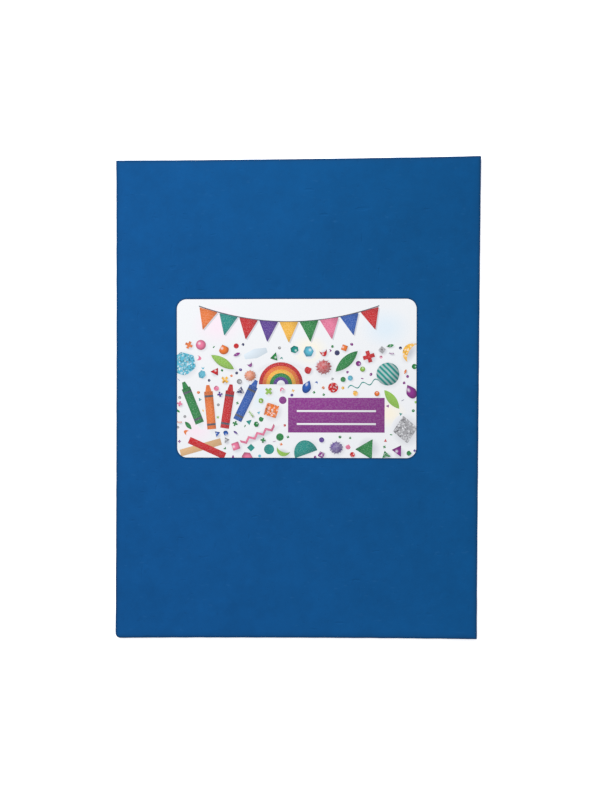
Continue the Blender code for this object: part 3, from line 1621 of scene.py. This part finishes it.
@dataclass
class PaperLabel:
    """The label: thin coated paper, flat but for one corner that starts to peel.

    Its face is divided along the outlines of the print, so that the ink lies in the paper's own
    surface and not on it.
    """

    # The way of dividing that keeps only triangles inside the outlines, and its merge distance
    INSIDE: ClassVar[int] = 1
    WELD: ClassVar[float] = 1e-7

    box: Box
    foam_top: float
    motifs: list[Motif] = field(default_factory=list)
    thickness: float = 0.15 * MM
    glue: float = 0.01 * MM
    corner_radius: float = LABEL_CORNER
    corner_runs: int = 14
    pitch: float = 4.0 * MM
    peel: CornerLift = CornerLift(Corner.TOP_RIGHT, 0.3 * MM, 9 * MM)

    def build(self) -> bpy.types.Object:
        """Model and dress the label.

        Returns:
            The paper piece.
        """
        mesh = self._face()
        upper, printed = double_up(mesh)
        for face in mesh.faces:
            face.material_index *= face in printed
        for vert in mesh.verts:
            vert.co = self._place(vert.co, vert in upper)
        bmesh.ops.recalc_face_normals(mesh, faces=mesh.faces[:])
        finishes = [LabelPaper().material(), *(PrintedInk(effect).material() for effect in InkEffect)]
        return finished_piece("label_sheet", mesh, finishes, "label")

    def _outline(self) -> Mesh:
        """The label's round-cornered outline, with its lower left corner at the origin.

        Returns:
            The flat mesh of one face.
        """
        mesh = bmesh.new()
        size = self.box.size
        bmesh.ops.create_grid(mesh, x_segments=1, y_segments=1, size=0.5)
        bmesh.ops.translate(mesh, verts=mesh.verts[:], vec=(0.5, 0.5, 0.0))
        bmesh.ops.scale(mesh, verts=mesh.verts[:], vec=(size.x, size.y, 1.0))
        round_corners(mesh, self.corner_radius, self.corner_runs)
        return mesh

    def _layers(self) -> list[Mesh]:
        """The label's outline and every motif's, each in its place, from the paper up.

        Returns:
            The flat meshes.
        """
        cutter = MotifCutter()
        layers = [self._outline()]
        for motif in self.motifs:
            outline = cutter.cut(motif.shape)
            bmesh.ops.transform(outline, matrix=motif.matrix(), verts=outline.verts[:])
            layers.append(outline)
        return layers

    def _divided(self) -> tuple[list[Vector], list[tuple[list[int], int]]]:
        """Divide the label into triangles along every outline.

        Returns:
            The points, and each triangle's corners with the place of the topmost motif on it in
            the list of motifs, which is -1 on bare paper.
        """
        points, loops, owners = self._spare_points(), [], []
        for owner, outline in enumerate(self._layers()):
            first = len(points)
            outline.verts.index_update()
            points.extend(vert.co.xy for vert in outline.verts)
            loops.extend([first + vert.index for vert in face.verts] for face in outline.faces)
            owners.extend([owner] * len(outline.faces))
            outline.free()
        places, _, parts, _, _, sources = delaunay_2d_cdt(points, [], loops, self.INSIDE, self.WELD, True)
        covers = [{owners[loop] for loop in source} for source in sources]
        return places, [(part, max(cover) - 1) for part, cover in zip(parts, covers) if 0 in cover]

    def _face(self) -> Mesh:
        """Draw the divided face and mark each triangle with its motif's ink and effect.

        Returns:
            The flat face, with its ink, its motif map and its material slots.
        """
        mesh = bmesh.new()
        uv = mesh.loops.layers.uv.new("motif")
        ink = mesh.loops.layers.float_color.new("ink")
        places, parts = self._divided()
        verts = [mesh.verts.new((*place, 0.0)) for place in places]
        effects = list(InkEffect)
        back = [motif.matrix().inverted() for motif in self.motifs]
        for corners, topmost in parts:
            face = mesh.faces.new([verts[corner] for corner in corners])
            if topmost < 0:
                continue
            motif = self.motifs[topmost]
            face.material_index = 1 + effects.index(motif.effect)
            for loop in face.loops:
                loop[uv].uv = (back[topmost] @ loop.vert.co).xy / 2 + Vector((0.5, 0.5))
                loop[ink] = (*motif.ink.colour, 1.0)
        unused = [vert for vert in mesh.verts if not vert.link_faces]
        bmesh.ops.delete(mesh, geom=unused, context="VERTS")
        return mesh

    def _spare_points(self) -> list[Vector]:
        """Evenly spaced points inside the outline, which let the paper bend.

        Returns:
            The points, from the lower left corner.
        """
        size = self.box.size
        columns, rows = round(size.x / self.pitch), round(size.y / self.pitch)
        return [
            Vector((size.x * column / columns, size.y * row / rows))
            for column in range(1, columns) for row in range(1, rows)
        ]

    def _place(self, spot: Vector, on_face: bool) -> Vector:
        """Put a point of the flat label on the foam.

        Args:
            spot: The point, from the label's lower left corner.
            on_face: Whether it is on the printed face.

        Returns:
            The point's place in the frame.
        """
        half = self.box.size / 2
        lift = self.peel.at(spot.x - half.x, spot.y - half.y, half)
        height = self.foam_top + self.glue + lift + self.thickness * on_face
        return Vector((self.box.low.x + spot.x, self.box.low.y + spot.y, height))


@dataclass(frozen=True)
class Lamp:
    """A large soft lamp that points at the sheet, and that the camera doesn't see."""

    name: str
    place: Place
    size: float
    power: float

    def hang(self) -> None:
        """Add the lamp to the scene."""
        data = bpy.data.lights.new(self.name, "AREA")
        data.shape = "SQUARE"
        data.size = self.size
        data.energy = self.power
        lamp = bpy.data.objects.new(self.name, data)
        lamp.location = self.place
        lamp.rotation_euler = (-Vector(self.place)).to_track_quat("-Z", "Y").to_euler()
        lamp.visible_camera = False
        bpy.context.scene.collection.objects.link(lamp)


@dataclass
class Studio:
    """A plain pale floor, soft light from above the sheet's upper left and the camera above."""

    floor_size: float = 60.0
    floor_drop: float = 0.2 * MM
    lamps: tuple[Lamp, ...] = (
        Lamp("key_light", (-0.44, 0.92, 0.76), size=0.8, power=15.0),
        Lamp("fill_light", (0.9, -0.7, 1.5), size=1.4, power=2.5),
    )
    camera_place: Place = (0.03294, 0.01886, 0.7600)
    camera_tilt: Place = (math.radians(-1.44), math.radians(2.31), 0.0)
    focal_length: float = 54.0
    sensor: float = 36.0
    sky: float = 0.58
    backdrop: float = 1.0

    def build(self) -> None:
        """Set up the floor, the lights, the sky and the camera."""
        self._floor()
        for lamp in self.lamps:
            lamp.hang()
        self._sky()
        self._camera()
        bpy.context.scene.view_settings.view_transform = "Standard"

    def _floor(self) -> None:
        """Lay the floor just under the sheet."""
        mesh = bmesh.new()
        bmesh.ops.create_grid(mesh, x_segments=4, y_segments=4, size=self.floor_size / 2)
        bmesh.ops.translate(mesh, verts=mesh.verts[:], vec=(0.0, 0.0, -self.floor_drop))
        show("floor", mesh, [PaleFloor().material()])

    def _sky(self) -> None:
        """Surround the studio with even white light, seen as a white backdrop."""
        world = bpy.data.worlds.new("studio")
        world.use_nodes = True
        nodes, links = world.node_tree.nodes, world.node_tree.links
        light = nodes["Background"]
        backdrop = nodes.new("ShaderNodeBackground")
        for background, strength in ((light, self.sky), (backdrop, self.backdrop)):
            background.inputs["Color"].default_value = (1.0, 1.0, 1.0, 1.0)
            background.inputs["Strength"].default_value = strength
        choice = nodes.new("ShaderNodeMixShader")
        links.new(nodes.new("ShaderNodeLightPath").outputs["Is Camera Ray"], choice.inputs["Fac"])
        links.new(light.outputs["Background"], choice.inputs[1])
        links.new(backdrop.outputs["Background"], choice.inputs[2])
        links.new(choice.outputs["Shader"], nodes["World Output"].inputs["Surface"])
        bpy.context.scene.world = world

    def _camera(self) -> None:
        """Put the camera above the sheet, tilted as in the photograph."""
        data = bpy.data.cameras.new("camera")
        data.lens = self.focal_length
        data.sensor_width = self.sensor
        camera = bpy.data.objects.new("camera", data)
        camera.location = self.camera_place
        camera.rotation_euler = self.camera_tilt
        bpy.context.scene.collection.objects.link(camera)
        bpy.context.scene.camera = camera


def report(piece: bpy.types.Object) -> None:
    """Log a piece's name, size and face count."""
    size = piece.dimensions / MM
    LOG.info("%s: %.1f x %.1f x %.2f mm, %d faces", piece.name, *size, len(piece.data.polygons))


def main() -> None:
    """Build the studio, the foam sheet and the label."""
    logging.basicConfig(level=logging.INFO, format="%(message)s")
    sheet, label = Box(*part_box("foam_sheet")), Box(*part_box("label"))
    Studio().build()
    report(FoamSheet(SheetLay(sheet, label)).build())
    size = label.size / MM
    design = DesignLayout(size.x, size.y).motifs()
    report(PaperLabel(label, sheet.high.z, design).build())


if __name__ == "__main__":
    main()
